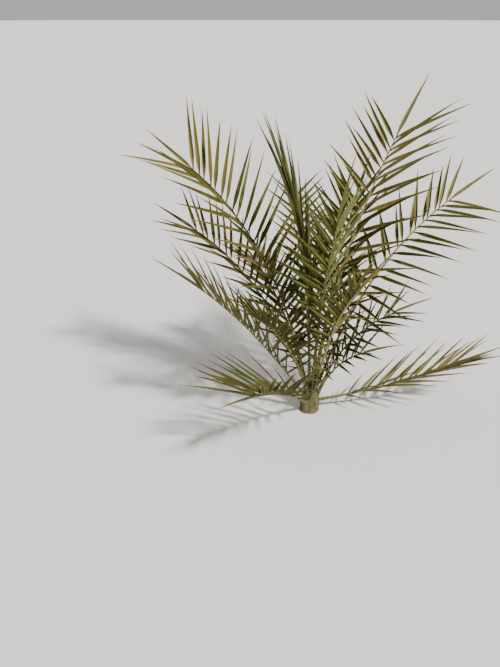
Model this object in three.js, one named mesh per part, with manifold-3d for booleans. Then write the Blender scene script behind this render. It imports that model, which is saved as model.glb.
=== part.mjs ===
// Young date palm: a short stump, the closed spear at its centre and arching fronds.
// Millimetres, +Z up. The origin is the middle of the flat cut at ground level.
// A heading is the compass way a frond leans, in degrees from +X towards +Y.

import * as THREE from 'three';
import { mergeVertices } from 'three/addons/utils/BufferGeometryUtils.js';
import Module from 'manifold-3d';

const wasm = await Module();
wasm.setup();

const { degToRad, lerp } = THREE.MathUtils;

// Clearance between a frond and whatever it is not fused to
const GAP = 0.3;

// Stump: its dome is squarer the higher its power
const STUMP_HEIGHT = 112;
const STUMP_RADIUS = 28;
const DOME_POWER = 4;
const FLARE = 5;
const FLARE_HEIGHT = 14;
const STUMP_LEAN = 3;
const STUMP_SIDES = 22;
const STUMP_RINGS = 12;
const SLOPE_STEP = 0.5;

// Spear: it starts this far below the stump's top, and its outline is in shares of half its width
// and of its length
const SPEAR_LENGTH = 470;
const SPEAR_WIDTH = 8;
const SPEAR_SINK = 6;
const SPEAR_SIDES = 6;
const SPEAR_OUTLINE = [[0, 0], [0.8, 0], [1, 0.25], [0.8, 0.7], [0, 1]];

// Frond stalk: width above its foot and at its tip, and the share of it that the foot takes
const STALK_WIDTH = 11;
const TIP_WIDTH = 5;
const FOOT_SHARE = 0.12;

// Stalk section, as shares of its width: flat above, narrower below, leaflets out of its flanks
const UPPER_HEIGHT = 0.15;
const LOWER_DEPTH = 0.45;
const LOWER_WIDTH = 0.6;
const LEAF_ROOT_DEPTH = 0.25;

// Stalk's corners and rings, the length it is rooted in the stump, and where its last leaflet springs
const STALK_SIDES = 4;
const STALK_RINGS = 12;
const ROOTED = 16;
const PATH_STEPS = 48;
const TIP_ROOT = 0.98;

// Leaflet: a three-sided blade whose sizes are shares of its own length or width
const LEAF_SIDES = 3;
const LEAF_WIDTH = 0.04;
const LEAF_THICKNESS = 0.0115;
const LEAF_NECK = 0.45;
const LEAF_WIDEST = 0.3;

// Rows of leaflets: the first is short, they reach full length at a share of the row, then shorten
const SHORTEST = 0.25;
const FULL_LENGTH_AT = 0.3;
const LENGTH_AT_TIP = 0.9;

// Pairs on a frond: a number that all have, and one more for each of these lengths of its stalk.
// The two of a pair are staggered by a share of their spacing each way.
const PAIRS_BASE = 8;
const PAIR_SPACING = 84;
const STAGGER = 0.2;

// A leaflet's rank above the blade alternates by this angle, and wanders a little by its own seed
const RANK = 9;
const WANDER = 3;
const FROND_SEED = 97;

// Ways to turn a leaflet that would touch a neighbour: opening and rise in degrees, then length
const NUDGES = [1, 0.8, 0.6].flatMap((size) => [
  [0, 0], [5, 0], [-5, 0], [0, 8], [0, -8], [9, 9], [-9, 9], [9, -9], [-9, -9], [15, 0], [-15, 0],
].map(([open, rise]) => ({ open, rise, size })));

// What a frond has unless its row says otherwise. Angles in degrees, lengths in millimetres:
// heading and lift of the foot, droop and its bend towards the tip, length, height of the seat on
// the stump, width of the foot there, share of the stalk without leaflets, longest leaflet, share
// of it for the one at the tip, opening of the leaflets from the stalk at foot and tip, rise of
// their two rows, roll of the blade and extra opening of the right row. A row's own "at" is the
// side of the stump its seat is on, where that isn't its heading.
const ORDINARY = {
  lift: 74, droop: 30, bend: 1.5, length: 700, seat: 70, foot: 18, bare: 0.14, leaf: 240, tip: 0.85,
  openFoot: 70, openTip: 34, rise: 25, roll: 0, skew: 0,
};

const FRONDS = {
  frond_tall_right: {
    heading: 45, lift: 79, droop: 30, bend: 1.05, length: 1005, seat: 106, foot: 13, leaf: 330,
    tip: 0.9, openFoot: 77, openTip: 45, rise: 5,
  },
  frond_arching_left: {
    heading: 155, lift: 77, droop: 44, bend: 1.4, length: 965, seat: 96, foot: 15, leaf: 325, tip: 0.72,
    openFoot: 80, openTip: 40, rise: 30, roll: 30,
  },
  frond_arching_right: {
    heading: 20, lift: 70, droop: 40, bend: 1.4, length: 890, seat: 92, foot: 15, leaf: 270,
    openFoot: 88, openTip: 45, rise: 4, roll: -26, skew: 12,
  },
  frond_young_left: {
    heading: 165, lift: 90, droop: 21, bend: 2, length: 760, seat: 106, at: 185, foot: 13, bare: 0.26,
    leaf: 335, tip: 0.88, openFoot: 30, openTip: 10, rise: 4, skew: -2,
  },
  frond_upright_front: {
    heading: 320, lift: 88, droop: 10, bend: 1.4, length: 660, seat: 106, at: 285, foot: 13, bare: 0.42,
    leaf: 300, tip: 0.9, openFoot: 62, openTip: 42, rise: 12,
  },
  frond_back_right: { heading: 62, lift: 76, length: 780, at: 46, foot: 16, leaf: 270 },
  frond_back: {
    heading: 104, lift: 78, droop: 22, length: 750, seat: 92, at: 95, leaf: 180, openTip: 50,
  },
  frond_low_arch_left: {
    heading: 157, lift: 69, droop: 43, bend: 1.4, length: 780, seat: 76, at: 120, foot: 13, openTip: 36,
    rise: 28, roll: 25,
  },
  frond_side_left: { heading: 195, lift: 56, droop: 16, bend: 1.8, length: 640, at: 200 },
  frond_side_right: {
    heading: 312, lift: 80, droop: 26, length: 500, seat: 92, bare: 0.38, leaf: 220, openFoot: 66,
  },
  frond_middle_right: {
    heading: 356, lift: 72, droop: 46, bend: 1.4, length: 450, at: 4, seat: 72, foot: 16, leaf: 195,
    openFoot: 80, openTip: 40, rise: 5, roll: -14,
  },
  frond_short_right: {
    heading: 336, lift: 76, droop: 50, bend: 1.3, length: 300, seat: 54, at: 326, foot: 15, leaf: 190,
    openFoot: 80, openTip: 44, roll: -20,
  },
  frond_short_left: {
    heading: 218, lift: 70, droop: 34, bend: 1.4, length: 470, seat: 88, at: 226, foot: 15, bare: 0.32,
    leaf: 200,
  },
  frond_low_back_left: {
    heading: 116, lift: 60, droop: 46, bend: 1.4, length: 640, seat: 50, at: 106, foot: 15,
  },
  frond_low_back_right: {
    heading: 72, lift: 56, droop: 44, bend: 1.4, length: 620, seat: 46, at: 70, foot: 15,
  },
  frond_low_right: {
    heading: 4, lift: 9, droop: -12, bend: 1.4, length: 560, seat: 40, at: 12, leaf: 250, tip: 0.65,
    openFoot: 46, openTip: 20, rise: 30,
  },
  frond_low_left: {
    heading: 238, lift: 38, droop: 20, bend: 1.3, length: 460, seat: 44, at: 234, bare: 0.2, leaf: 285,
    tip: 0.75, openFoot: 66, openTip: 36, rise: 27, roll: -12, skew: 10,
  },
};

// Colour and roughness of each kind of piece
const BARK = { color: 0x6b553c, roughness: 0.9 };
const YOUNG_LEAF = { color: 0x5f8a3a, roughness: 0.5 };
const FROND_GREEN = { color: 0x6f7a3c, roughness: 0.55 };

// Repeatable wander between -1 and 1 for any number
function wander(n) {
  const x = Math.sin(n * 12.9898) * 43758.5453;
  return 2 * (x - Math.floor(x)) - 1;
}

// Closed solid from a three.js geometry: shared corners are merged and empty faces dropped
function toSolid(geometry) {
  const bare = geometry.clone();
  bare.deleteAttribute('normal');
  bare.deleteAttribute('uv');
  const merged = mergeVertices(bare, 1e-4);
  const corners = merged.index.array;
  const faces = [];
  for (let i = 0; i < corners.length; i += 3) {
    const [a, b, c] = corners.slice(i, i + 3);
    if (a !== b && b !== c && c !== a) faces.push(a, b, c);
  }
  return new wasm.Manifold(new wasm.Mesh({
    numProp: 3,
    vertProperties: new Float32Array(merged.attributes.position.array),
    triVerts: new Uint32Array(faces),
  }));
}

// Mesh of a solid, with its name and look
function toMesh(name, solid, look) {
  const { vertProperties, triVerts, numProp } = solid.getMesh();
  const geometry = new THREE.BufferGeometry();
  const points = [];
  for (let i = 0; i < vertProperties.length; i += numProp) {
    points.push(vertProperties[i], vertProperties[i + 1], vertProperties[i + 2]);
  }
  geometry.setAttribute('position', new THREE.Float32BufferAttribute(points, 3));
  geometry.setIndex(Array.from(triVerts));
  geometry.computeVertexNormals();
  const mesh = new THREE.Mesh(geometry, new THREE.MeshStandardMaterial({ metalness: 0, ...look }));
  mesh.name = name;
  return mesh;
}

// Move every corner of a geometry by a function of its place
function reshape(geometry, place) {
  const position = geometry.attributes.position;
  const corner = new THREE.Vector3();
  for (let i = 0; i < position.count; i += 1) {
    corner.fromBufferAttribute(position, i);
    position.setXYZ(i, ...place(corner).toArray());
  }
  return geometry;
}

// Stump's radius: a dome that closes at its top, with a flare at the ground
function stumpRadius(z) {
  const dome = Math.sqrt(Math.max(0, 1 - (z / STUMP_HEIGHT) ** DOME_POWER));
  return STUMP_RADIUS * dome + FLARE * Math.exp(-z / FLARE_HEIGHT);
}

function leanShift(z) {
  return z * Math.tan(degToRad(STUMP_LEAN));
}

// The stump's solid, or with some growth outwards the room that it needs
function stumpSolid(grow) {
  const profile = [new THREE.Vector2(0, 0)];
  for (let i = 0; i < STUMP_RINGS; i += 1) {
    const z = STUMP_HEIGHT * Math.sin((Math.PI / 2) * (i / STUMP_RINGS));
    const slope = (stumpRadius(z + SLOPE_STEP) - stumpRadius(z - SLOPE_STEP)) / (2 * SLOPE_STEP);
    const outward = new THREE.Vector2(1, i ? -slope : 0).setLength(grow);
    profile.push(outward.add(new THREE.Vector2(stumpRadius(z), z)));
  }
  profile.push(new THREE.Vector2(0, STUMP_HEIGHT + grow));
  const body = new THREE.LatheGeometry(profile, STUMP_SIDES).rotateX(Math.PI / 2);
  reshape(body, (p) => new THREE.Vector3(p.x + leanShift(p.z), p.y, p.z));
  return toSolid(body);
}

// Spear: the closed youngest leaf, a slim spike from the top of the stump
function spearSolid() {
  const foot = STUMP_HEIGHT - SPEAR_SINK;
  const outline = SPEAR_OUTLINE.map(([radius, height]) => new THREE.Vector2(radius, height));
  const spike = new THREE.LatheGeometry(outline, SPEAR_SIDES).rotateX(Math.PI / 2);
  reshape(spike, (p) => {
    const z = foot + p.z * SPEAR_LENGTH;
    return new THREE.Vector3((p.x * SPEAR_WIDTH) / 2 + leanShift(z), (p.y * SPEAR_WIDTH) / 2, z);
  });
  return toSolid(spike);
}

// Direction along a frond's stalk at share s, with the ways to its right and to its upper face
function axesAt(frond, s) {
  const along = Math.max(0, s);
  const lift = degToRad(frond.lift - frond.droop * along ** frond.bend);
  const heading = degToRad(frond.heading);
  const forward = new THREE.Vector3(
    Math.cos(lift) * Math.cos(heading),
    Math.cos(lift) * Math.sin(heading),
    Math.sin(lift),
  );
  const level = new THREE.Vector3(Math.sin(heading), -Math.cos(heading), 0);
  const upper = new THREE.Vector3().crossVectors(level, forward);
  const roll = degToRad(frond.roll * along);
  const right = level.clone().multiplyScalar(Math.cos(roll)).addScaledVector(upper, Math.sin(roll));
  const up = upper.multiplyScalar(Math.cos(roll)).addScaledVector(level, -Math.sin(roll));
  return { forward, right, up };
}

// Stalk's centre line: steps along its direction from the seat on the stump
function stalkPath(frond) {
  const at = degToRad(frond.at ?? frond.heading);
  const out = stumpRadius(frond.seat);
  const point = new THREE.Vector3(out * Math.cos(at) + leanShift(frond.seat), out * Math.sin(at), frond.seat);
  const path = [point.clone()];
  for (let i = 0; i < PATH_STEPS; i += 1) {
    const { forward } = axesAt(frond, (i + 0.5) / PATH_STEPS);
    point.addScaledVector(forward, frond.length / PATH_STEPS);
    path.push(point.clone());
  }
  return path;
}

function pointAt(frond, s) {
  if (s <= 0) return frond.path[0].clone().addScaledVector(axesAt(frond, 0).forward, s * frond.length);
  const place = Math.min(s, 1) * PATH_STEPS;
  const i = Math.min(Math.floor(place), PATH_STEPS - 1);
  return frond.path[i].clone().lerp(frond.path[i + 1], place - i);
}

function stalkWidth(frond, s) {
  if (s < FOOT_SHARE) return lerp(frond.foot, STALK_WIDTH, Math.max(0, s) / FOOT_SHARE);
  return lerp(STALK_WIDTH, TIP_WIDTH, (s - FOOT_SHARE) / (1 - FOOT_SHARE));
}

// Stalk: a four-cornered rod bent along its path. The middle of each end stays on the path.
function stalkSolid(frond) {
  const rooted = ROOTED / frond.length;
  const rod = new THREE.CylinderGeometry(1, 1, 1, STALK_SIDES, STALK_RINGS, false, Math.PI / STALK_SIDES);
  reshape(rod, (p) => {
    const s = lerp(-rooted, 1, p.y + 0.5);
    const { right, up } = axesAt(frond, s);
    const width = stalkWidth(frond, s);
    const x = Math.sign(p.x) * (width / 2) * (p.z > 0 ? 1 : LOWER_WIDTH);
    const z = Math.sign(p.z) * width * (p.z > 0 ? UPPER_HEIGHT : LOWER_DEPTH);
    return pointAt(frond, s).addScaledVector(right, x).addScaledVector(up, z);
  });
  return toSolid(rod);
}

// Leaflets of a frond: two rows of pairs, short and spiny at the foot, and one at the tip
function leafletsOf(frond, order) {
  const pairs = Math.round(PAIRS_BASE + frond.length / PAIR_SPACING);
  const leaflets = [];
  for (const side of [1, -1]) {
    for (let k = 0; k < pairs; k += 1) {
      const u = (k + 0.5 + STAGGER * side) / pairs;
      const seed = FROND_SEED * order + 2 * k + (side + 1) / 2;
      const grown = u < FULL_LENGTH_AT
        ? lerp(SHORTEST, 1, u / FULL_LENGTH_AT)
        : lerp(1, LENGTH_AT_TIP, (u - FULL_LENGTH_AT) / (1 - FULL_LENGTH_AT));
      leaflets.push({
        s: lerp(frond.bare, TIP_ROOT, u),
        side,
        open: lerp(frond.openFoot, frond.openTip, u) + side * frond.skew + WANDER * wander(seed),
        rise: frond.rise + (k % 2 ? RANK : -RANK) + WANDER * wander(seed + 0.5),
        length: frond.leaf * grown,
      });
    }
  }
  leaflets.push({ s: TIP_ROOT, side: 1, open: 0, rise: 0, length: frond.leaf * frond.tip });
  return leaflets;
}

// Blade of length 1 with its keel below, a narrow neck and a long point. Its section is the
// triangle in a circle of radius 1, whose side and height its real width and thickness replace.
const BLADE = new THREE.LatheGeometry([
  new THREE.Vector2(0, 0),
  new THREE.Vector2(LEAF_NECK, 0),
  new THREE.Vector2(1, LEAF_WIDEST),
  new THREE.Vector2(0, 1),
], LEAF_SIDES);
const TRIANGLE_SIDE = Math.sqrt(3);
const TRIANGLE_HEIGHT = 1.5;

// A leaflet turned by a nudge, or with some growth the room that it needs
function leafletSolid(frond, leaf, nudge, grow) {
  const { forward, right, up } = axesAt(frond, leaf.s);
  const open = degToRad(leaf.open + nudge.open);
  const rise = degToRad(leaf.rise + nudge.rise);
  const outward = right.clone().multiplyScalar(leaf.side * Math.cos(rise)).addScaledVector(up, Math.sin(rise));
  const along = forward.clone().multiplyScalar(Math.cos(open)).addScaledVector(outward, Math.sin(open));
  const keel = up.clone().addScaledVector(along, -up.dot(along)).normalize().negate();
  const across = new THREE.Vector3().crossVectors(along, keel);
  const length = leaf.length * nudge.size;
  const width = length * LEAF_WIDTH + 2 * grow;
  const thickness = length * LEAF_THICKNESS + 2 * grow;
  const root = pointAt(frond, leaf.s).addScaledVector(up, -LEAF_ROOT_DEPTH * stalkWidth(frond, leaf.s));
  const pose = new THREE.Matrix4().makeBasis(
    across.multiplyScalar(width / TRIANGLE_SIDE),
    along.multiplyScalar(length + 2 * grow),
    keel.multiplyScalar(thickness / TRIANGLE_HEIGHT),
  ).setPosition(root);
  return toSolid(BLADE.clone().applyMatrix4(pose));
}

// Room taken so far, by the piece that takes it
const placed = [];

function claim(owner, solid) {
  placed.push({ owner, solid, box: solid.boundingBox() });
}

function boxesMeet(a, b) {
  return [0, 1, 2].every((i) => a.min[i] <= b.max[i] && b.min[i] <= a.max[i]);
}

// True where a solid is above the ground and touches nothing of another owner
function isClear(owner, solid) {
  const box = solid.boundingBox();
  if (box.min[2] < GAP) return false;
  return placed.every((other) => other.owner === owner || !boxesMeet(box, other.box)
    || solid.intersect(other.solid).isEmpty());
}

// The stump, the spear and every stalk are placed first, so that each leaflet can keep clear
const stump = stumpSolid(0);
const stumpRoom = stumpSolid(GAP);
const spear = spearSolid().subtract(stumpRoom);
const fronds = Object.entries(FRONDS).map(([name, row]) => ({ name, ...ORDINARY, ...row }));

claim('trunk', stump);
claim('spear', spear);
for (const frond of fronds) {
  frond.path = stalkPath(frond);
  frond.stalk = stalkSolid(frond).subtract(stumpRoom);
  claim(frond.name, frond.stalk);
}

// Leaflets are fused to their stalk one by one, and one that stays in the way is skipped
fronds.forEach((frond, order) => {
  frond.solid = frond.stalk;
  for (const leaf of leafletsOf(frond, order)) {
    const nudge = NUDGES.find((turn) => isClear(frond.name, leafletSolid(frond, leaf, turn, GAP)));
    if (nudge) {
      const blade = leafletSolid(frond, leaf, nudge, 0);
      claim(frond.name, blade);
      frond.solid = frond.solid.add(blade);
    }
  }
});

const palm = new THREE.Group();
palm.add(toMesh('trunk', stump, BARK));

const crown = new THREE.Group();
crown.add(toMesh('spear', spear, YOUNG_LEAF));
for (const frond of fronds) {
  crown.add(toMesh(frond.name, frond.solid, FROND_GREEN));
}
palm.add(crown);

export default palm;
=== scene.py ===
"""Young date palm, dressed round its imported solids.

A stump in its fibre, with the dry remains of old leaf bases round its foot; the fronds' clasping
bases and stalks with their spines; the folded leaflets with their dry tips; and the closed spear at
the centre. Metres, +Z up, with headings in degrees from +X towards +Y. The fronds follow the rule
that the solids follow, with finer leaflets.
"""

import bpy
import numpy as np
from bpy.props import FloatProperty, FloatVectorProperty, IntProperty, PointerProperty
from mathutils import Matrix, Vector


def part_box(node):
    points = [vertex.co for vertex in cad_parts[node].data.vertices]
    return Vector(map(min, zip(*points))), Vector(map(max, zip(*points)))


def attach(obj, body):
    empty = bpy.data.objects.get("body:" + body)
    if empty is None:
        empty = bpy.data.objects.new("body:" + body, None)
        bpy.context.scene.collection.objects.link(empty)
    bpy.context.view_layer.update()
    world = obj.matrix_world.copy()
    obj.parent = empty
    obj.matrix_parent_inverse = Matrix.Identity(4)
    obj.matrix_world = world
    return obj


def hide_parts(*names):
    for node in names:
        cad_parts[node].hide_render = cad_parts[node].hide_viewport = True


bl_info = {
    "name": "Young Date Palm",
    "version": (1, 0, 0),
    "blender": (4, 5, 0),
    "location": "View3D > Sidebar > Palm",
    "description": "Builds a young date palm: folded leaflets, spiny stalks and a fibrous stump",
    "category": "Object",
}

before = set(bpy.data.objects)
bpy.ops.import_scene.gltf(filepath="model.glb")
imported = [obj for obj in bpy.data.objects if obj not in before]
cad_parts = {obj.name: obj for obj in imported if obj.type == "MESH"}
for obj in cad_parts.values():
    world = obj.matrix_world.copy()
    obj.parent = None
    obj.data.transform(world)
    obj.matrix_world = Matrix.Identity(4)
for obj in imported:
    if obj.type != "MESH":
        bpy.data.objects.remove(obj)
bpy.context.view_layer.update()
MM = 0.001

# Stump, from the trunk's box: it leans towards +X, with a flare at the ground
STUMP_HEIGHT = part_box("trunk")[1].z
STUMP_RADIUS = 28 * MM
DOME_POWER = 4
FLARE = 5 * MM
FLARE_HEIGHT = 14 * MM
LEAN_SLOPE = np.tan(np.radians(3))

# Spear, from its own box
SPEAR_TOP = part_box("spear")[1].z
SPEAR_SINK = 6 * MM
SPEAR_RADIUS = 4 * MM

# Stalk widths, and the share of a stalk that its foot takes
STALK_WIDTH = 11 * MM
TIP_WIDTH = 5 * MM
FOOT_SHARE = 0.12

# Steps that a stalk's path is summed from, how deep below it leaflets spring as a share of its
# width, and where its end leaflet springs
PATH_STEPS = 48
LEAF_ROOT_DEPTH = 0.25
TIP_ROOT = 0.98

# Leaflet rows: length grows from the foot of a row, is full at a share of it, and falls to its end.
# The left row is staggered against the right one. Every other leaflet points up by the rank's angle
# and the rest down by it, and their ways wander by some degrees
SHORTEST = 0.25
FULL_LENGTH_AT = 0.3
LENGTH_AT_TIP = 0.9
STAGGER = 0.2
RANK = 9
WANDER = 3
FROND_SEED = 97

# The fronds, with angles in degrees and lengths in millimetres: heading and lift of the foot; droop
# and its bend towards the tip; length; height of the seat on the stump; width of the foot; share
# without leaflets; longest leaflet, and the end leaflet as a share of it; opening of the leaflets
# at foot and tip; rise of their rows; roll of the blade; extra opening of the right row; pairs more
# than usual; and tone from the freshest green at 0 to golden olive at 1. "at" is the side of the
# stump that the seat is on, where it isn't the heading's.
ORDINARY = {
    "lift": 74, "droop": 30, "bend": 1.5, "length": 700, "seat": 70, "foot": 18, "bare": 0.14,
    "leaf": 240, "tip": 0.85, "open_foot": 70, "open_tip": 34, "rise": 25, "roll": 0, "skew": 0,
    "more": 0, "tone": 0.45,
}

FRONDS = {
    "frond_tall_right": {
        "heading": 45, "lift": 79, "droop": 30, "bend": 1.05, "length": 1005, "seat": 106,
        "foot": 13, "leaf": 330, "tip": 0.9, "open_foot": 77, "open_tip": 45, "rise": 5,
        "tone": 0.55,
    },
    "frond_arching_left": {
        "heading": 155, "lift": 77, "droop": 44, "bend": 1.4, "length": 965, "seat": 96,
        "foot": 15, "leaf": 325, "tip": 0.72, "open_foot": 80, "open_tip": 40, "rise": 30,
        "roll": 30, "tone": 0.52,
    },
    "frond_arching_right": {
        "heading": 20, "lift": 70, "droop": 40, "bend": 1.4, "length": 890, "seat": 92,
        "foot": 15, "leaf": 270, "open_foot": 88, "open_tip": 45, "rise": 4, "roll": -26,
        "skew": 12, "tone": 0.58,
    },
    "frond_young_left": {
        "heading": 165, "lift": 90, "droop": 21, "bend": 2, "length": 760, "seat": 106, "at": 185,
        "foot": 13, "bare": 0.26, "leaf": 335, "tip": 0.88, "open_foot": 30, "open_tip": 10,
        "rise": 4, "skew": -2, "tone": 0.1,
    },
    "frond_upright_front": {
        "heading": 320, "lift": 88, "droop": 10, "bend": 1.4, "length": 660, "seat": 106, "at": 285,
        "foot": 13, "bare": 0.42, "leaf": 300, "tip": 0.9, "open_foot": 62, "open_tip": 42,
        "rise": 12, "tone": 0.15,
    },
    "frond_back_right": {
        "heading": 62, "lift": 76, "length": 780, "at": 46, "foot": 16, "leaf": 270,
    },
    "frond_back": {
        "heading": 104, "lift": 78, "droop": 22, "length": 750, "seat": 92, "at": 95, "leaf": 180,
        "open_tip": 50,
    },
    "frond_low_arch_left": {
        "heading": 157, "lift": 69, "droop": 43, "bend": 1.4, "length": 780, "seat": 76, "at": 120,
        "foot": 13, "open_tip": 36, "rise": 28, "roll": 25, "tone": 0.5,
    },
    "frond_side_left": {
        "heading": 195, "lift": 56, "droop": 16, "bend": 1.8, "length": 640, "at": 200, "more": 5,
        "tone": 0.42,
    },
    "frond_side_right": {
        "heading": 312, "lift": 80, "droop": 26, "length": 500, "seat": 92, "bare": 0.38,
        "leaf": 220, "open_foot": 66, "tone": 0.35,
    },
    "frond_middle_right": {
        "heading": 356, "lift": 72, "droop": 46, "bend": 1.4, "length": 450, "seat": 72,
        "at": 4, "foot": 16, "leaf": 195, "open_foot": 80, "open_tip": 40, "rise": 5, "roll": -14,
        "tone": 0.4,
    },
    "frond_short_right": {
        "heading": 336, "lift": 76, "droop": 50, "bend": 1.3, "length": 300, "seat": 54, "at": 326,
        "foot": 15, "leaf": 190, "open_foot": 80, "open_tip": 44, "roll": -20, "tone": 0.4,
    },
    "frond_short_left": {
        "heading": 218, "lift": 70, "droop": 34, "bend": 1.4, "length": 470, "seat": 88, "at": 226,
        "foot": 15, "bare": 0.32, "leaf": 200, "more": 4, "tone": 0.35,
    },
    "frond_low_back_left": {
        "heading": 116, "lift": 60, "droop": 46, "bend": 1.4, "length": 640, "seat": 50,
        "at": 106, "foot": 15, "more": 5, "tone": 0.45,
    },
    "frond_low_back_right": {
        "heading": 72, "lift": 56, "droop": 44, "bend": 1.4, "length": 620, "seat": 46, "at": 70,
        "foot": 15, "tone": 0.6,
    },
    "frond_low_right": {
        "heading": 4, "lift": 9, "droop": -12, "bend": 1.4, "length": 560, "seat": 40, "at": 12,
        "leaf": 250, "tip": 0.65, "open_foot": 46, "open_tip": 20, "rise": 30, "tone": 0.5,
    },
    "frond_low_left": {
        "heading": 238, "lift": 38, "droop": 20, "bend": 1.3, "length": 460, "seat": 44, "at": 234,
        "bare": 0.2, "leaf": 285, "tip": 0.75, "open_foot": 66, "open_tip": 36, "rise": 27,
        "roll": -12, "skew": 10, "more": 4, "tone": 0.3,
    },
}
PALM = [
    {"order": order, "name": name, "at": row["heading"], **ORDINARY, **row}
    for order, (name, row) in enumerate(FRONDS.items())
]

# Tints that the leaflets are dealt out in, from the lowest tone to the highest. Fronds below the
# young tone have green stalks
TINTS = ("fresh", "deep", "green", "olive", "gold")
YOUNG_TONE = 0.2

# Camera of the photograph: its place, how far it looks down, and its focal length in pixels on the
# frame's long side, with the sensor width that stands for that side
CAMERA_PLACE = (-0.231, -2.239, 1.4)
CAMERA_DOWN = 25.6
FOCAL_PIXELS = 670
FRAME_PIXELS = 667
SENSOR_WIDTH = 36


class PalmSizes(bpy.types.PropertyGroup):
    """Sizes of the palm's finer parts."""

    pairs: IntProperty(
        name="Leaflet pairs", description="Pairs that every frond has", default=6, min=2)
    spacing: FloatProperty(
        name="Pair spacing", description="Length of stalk for each further pair",
        default=58 * MM, unit="LENGTH")
    leaf_width: FloatProperty(
        name="Leaflet width", description="Flat width of a leaflet of the usual length",
        default=21.5 * MM, unit="LENGTH")
    fold: FloatProperty(
        name="Fold", description="Angle that each half of a leaflet rises from flat",
        default=np.radians(39), subtype="ANGLE")
    sag: FloatProperty(
        name="Sag", description="How far a level leaflet's tip hangs, as a share of its length",
        default=0.035)
    tip_share: FloatProperty(
        name="Dry tip", description="Longest dry tip, as a share of its leaflet", default=0.14)
    spine_length: FloatProperty(
        name="Spine length", description="Length of the longest spine on a lower stalk",
        default=52 * MM, unit="LENGTH")
    sheath_width: FloatProperty(
        name="Base width", description="Width of a frond's clasping base at the ground",
        default=34 * MM, unit="LENGTH")
    scales: IntProperty(
        name="Old bases", description="Dry pointed remains of old leaf bases round the foot",
        default=19, min=0)
    fibres: IntProperty(
        name="Fibres", description="Strands of fibre round the stump", default=260, min=0)


def colour(name, description, default):
    """Colour that a user can change."""
    return FloatVectorProperty(
        name=name, description=description, subtype="COLOR", default=default)


class PalmColours(bpy.types.PropertyGroup):
    """Colours of the palm's finishes."""

    fresh: colour("Fresh green", "Leaflets of the youngest fronds", (0.09, 0.104, 0.019))
    deep: colour("Deep green", "Leaflets in their deepest tint", (0.08, 0.077, 0.016))
    green: colour("Green", "Leaflets in plain green", (0.12, 0.112, 0.022))
    olive: colour("Olive", "Leaflets in olive", (0.155, 0.135, 0.027))
    gold: colour("Golden olive", "Leaflets in their palest tint", (0.22, 0.182, 0.044))
    dry: colour("Dry", "Dry leaflets and tips", (0.25, 0.165, 0.078))
    stalk: colour("Stalk", "Upper stalks", (0.36, 0.275, 0.11))
    stalk_foot: colour("Stalk foot", "Lower stalks", (0.13, 0.128, 0.034))
    young_stalk: colour("Young stalk", "Stalks of the youngest fronds", (0.13, 0.165, 0.036))
    fibre: colour("Fibre", "Fibre and the stump's bark", (0.1, 0.061, 0.028))
    floor: colour("Floor", "Studio floor", (0.72, 0.69, 0.65))


# Numbers and directions

# The sine of a number times the first, times the second, has a fraction that looks random
WANDER_TURN = 12.9898
WANDER_SWING = 43758.5453

# Power that sets stations closer together at the foot of a stalk or a leaflet
EASE = 1.15


def lerp(a, b, t):
    """Straight way from a to b by share t."""
    return a + (b - a) * t


def smooth(low, high, x):
    """Share from 0 at low to 1 at high, level at both ends: t squared times three less twice t."""
    t = np.clip((x - low) / (high - low), 0, 1)
    return t * t * (3 - 2 * t)


def wander(n):
    """Repeatable wander between -1 and 1: twice the fraction of a large sine, less one."""
    x = np.sin(np.asarray(n) * WANDER_TURN) * WANDER_SWING
    return 2 * (x - np.floor(x)) - 1


def chance(n):
    """Repeatable share between 0 and 1."""
    return (1 + wander(n)) / 2


def dealt(limits, n, power=1):
    """Numbers dealt out between two limits, nearer to the first for a higher power."""
    return lerp(*limits, chance(n) ** power)


def eased(count):
    """Shares from 0 to 1: even shares raised to the power of ease."""
    return np.linspace(0, 1, count) ** EASE


def circle(corners):
    """Angles of corners spread evenly round a circle."""
    return np.linspace(0, 2 * np.pi, corners, endpoint=False)


def unit(v):
    """Directions of length one."""
    return v / np.linalg.norm(v, axis=-1, keepdims=True)


def dot(a, b):
    """Products along the last axis, kept as a column."""
    return (a * b).sum(-1, keepdims=True)


# The palm's rule, as the solids follow it


def stump_radius(z):
    """Dome that closes at the stump's top, plus a flare that dies away with height."""
    dome = np.sqrt(np.maximum(0, 1 - (z / STUMP_HEIGHT) ** DOME_POWER))
    return STUMP_RADIUS * dome + FLARE * np.exp(-z / FLARE_HEIGHT)


def on_stump(angle, z, out):
    """Points at an angle round the stump and a height, moved out from its surface."""
    radius = stump_radius(z) + out
    return np.stack([radius * np.cos(angle) + LEAN_SLOPE * z, radius * np.sin(angle), z], -1)


def frond_axes(frond, s):
    """Forward, right and up of a stalk at shares s: its lift falls by droop times s to its bend,
    and its blade rolls evenly round its forward way."""
    along = np.maximum(0, np.asarray(s, float))
    lift = np.radians(frond["lift"] - frond["droop"] * along ** frond["bend"])
    heading = np.radians(frond["heading"])
    forward = np.stack(
        [np.cos(lift) * np.cos(heading), np.cos(lift) * np.sin(heading), np.sin(lift)], -1)
    level = np.array([np.sin(heading), -np.cos(heading), 0])
    upper = np.cross(level, forward)
    roll = np.radians(frond["roll"] * along)[..., None]
    right = level * np.cos(roll) + upper * np.sin(roll)
    up = upper * np.cos(roll) - level * np.sin(roll)
    return forward, right, up


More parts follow.
